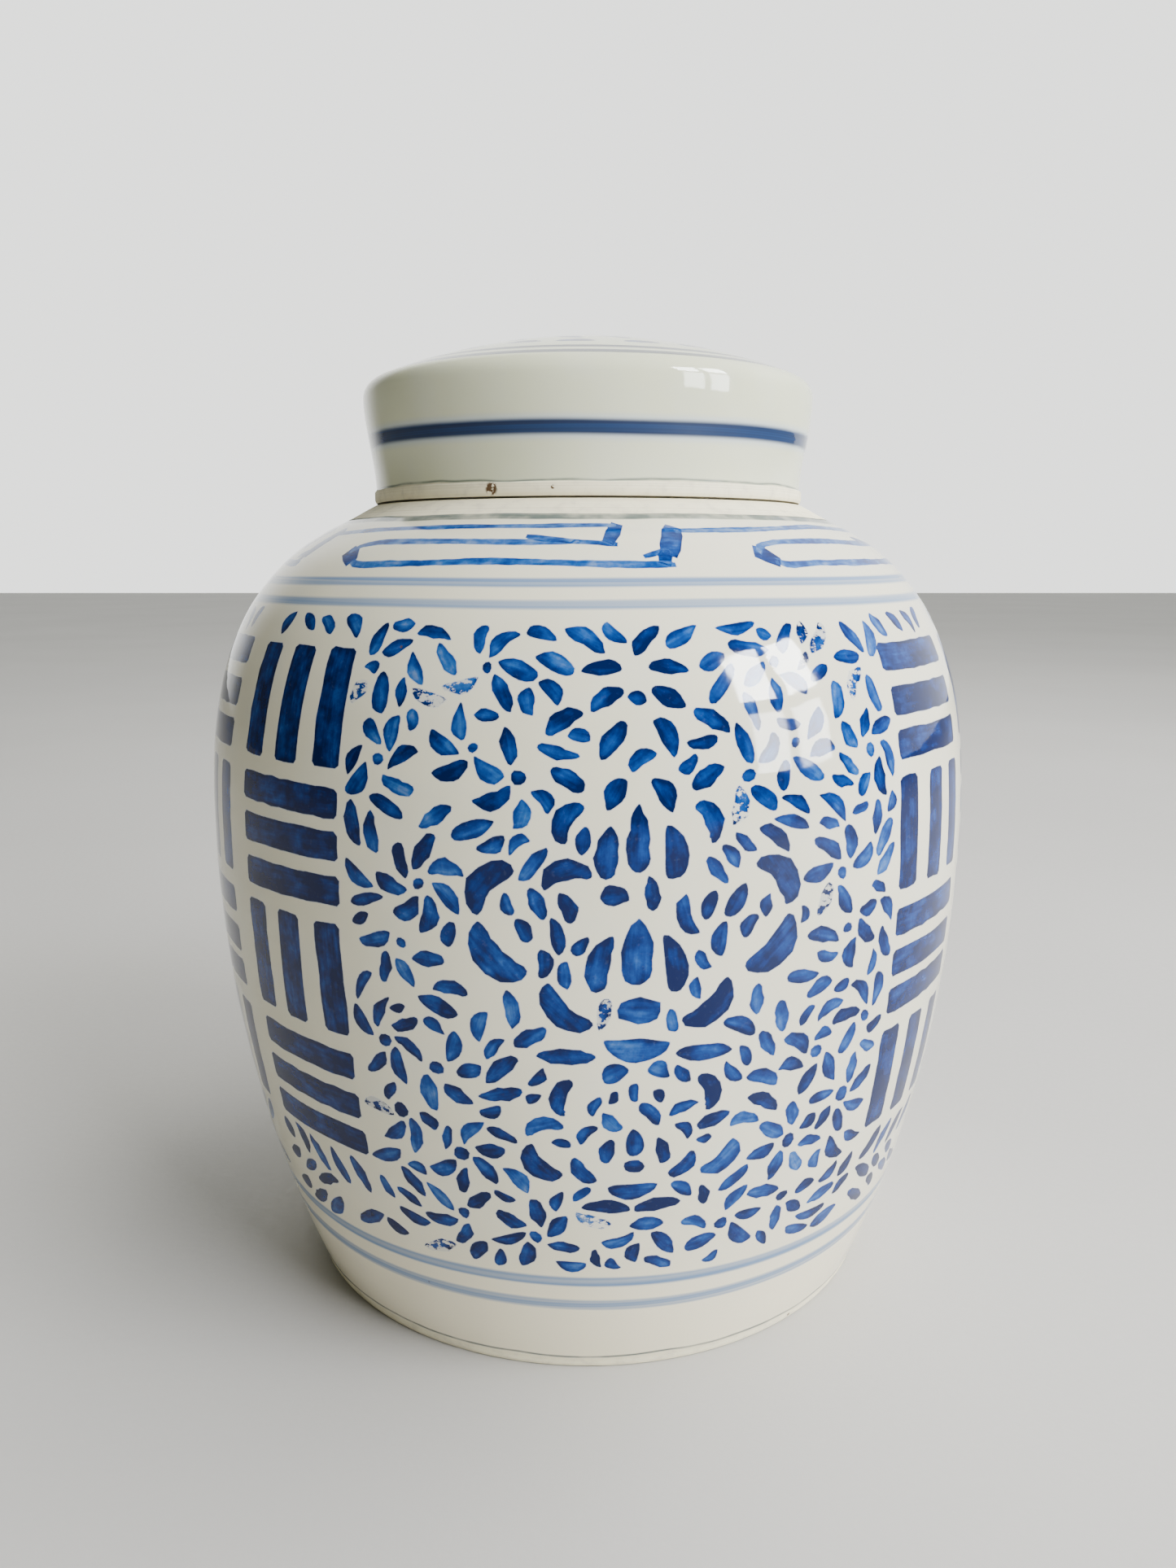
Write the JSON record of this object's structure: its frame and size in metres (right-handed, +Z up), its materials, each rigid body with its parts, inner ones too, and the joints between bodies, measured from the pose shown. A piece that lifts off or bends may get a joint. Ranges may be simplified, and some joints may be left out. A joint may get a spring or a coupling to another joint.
{
  "type": "ginger jar",
  "caption": "Ovoid porcelain ginger jar with a foot ring, an upright neck and a loose cap lid, painted in cobalt blue with leaf scrolls and block panels.",
  "frame": {"origin": "centre of the foot ring's standing face, on the jar's axis", "axes": "+Z up along the jar's axis; -Y is the front, where the middle of a leaf-scroll panel faces"},
  "size_m": [0.21, 0.21, 0.2538],
  "materials": {
    "jar_porcelain": "glossy off-white glaze over cobalt blue painting, with bare biscuit at the foot's edge, the seat and the neck",
    "lid_porcelain": "glossy off-white glaze over a cobalt blue band, with bare biscuit at the rim and inside"
  },
  "bodies": {
    "jar": {"jar_body": "jar_porcelain"},
    "lid": {"lid": "lid_porcelain"}
  },
  "joints": [
    {"name": "lid_lift", "type": "slide", "parent": "jar", "child": "lid", "axis": [0, 0, 1], "range_m": [0, 0.12]}
  ]
}
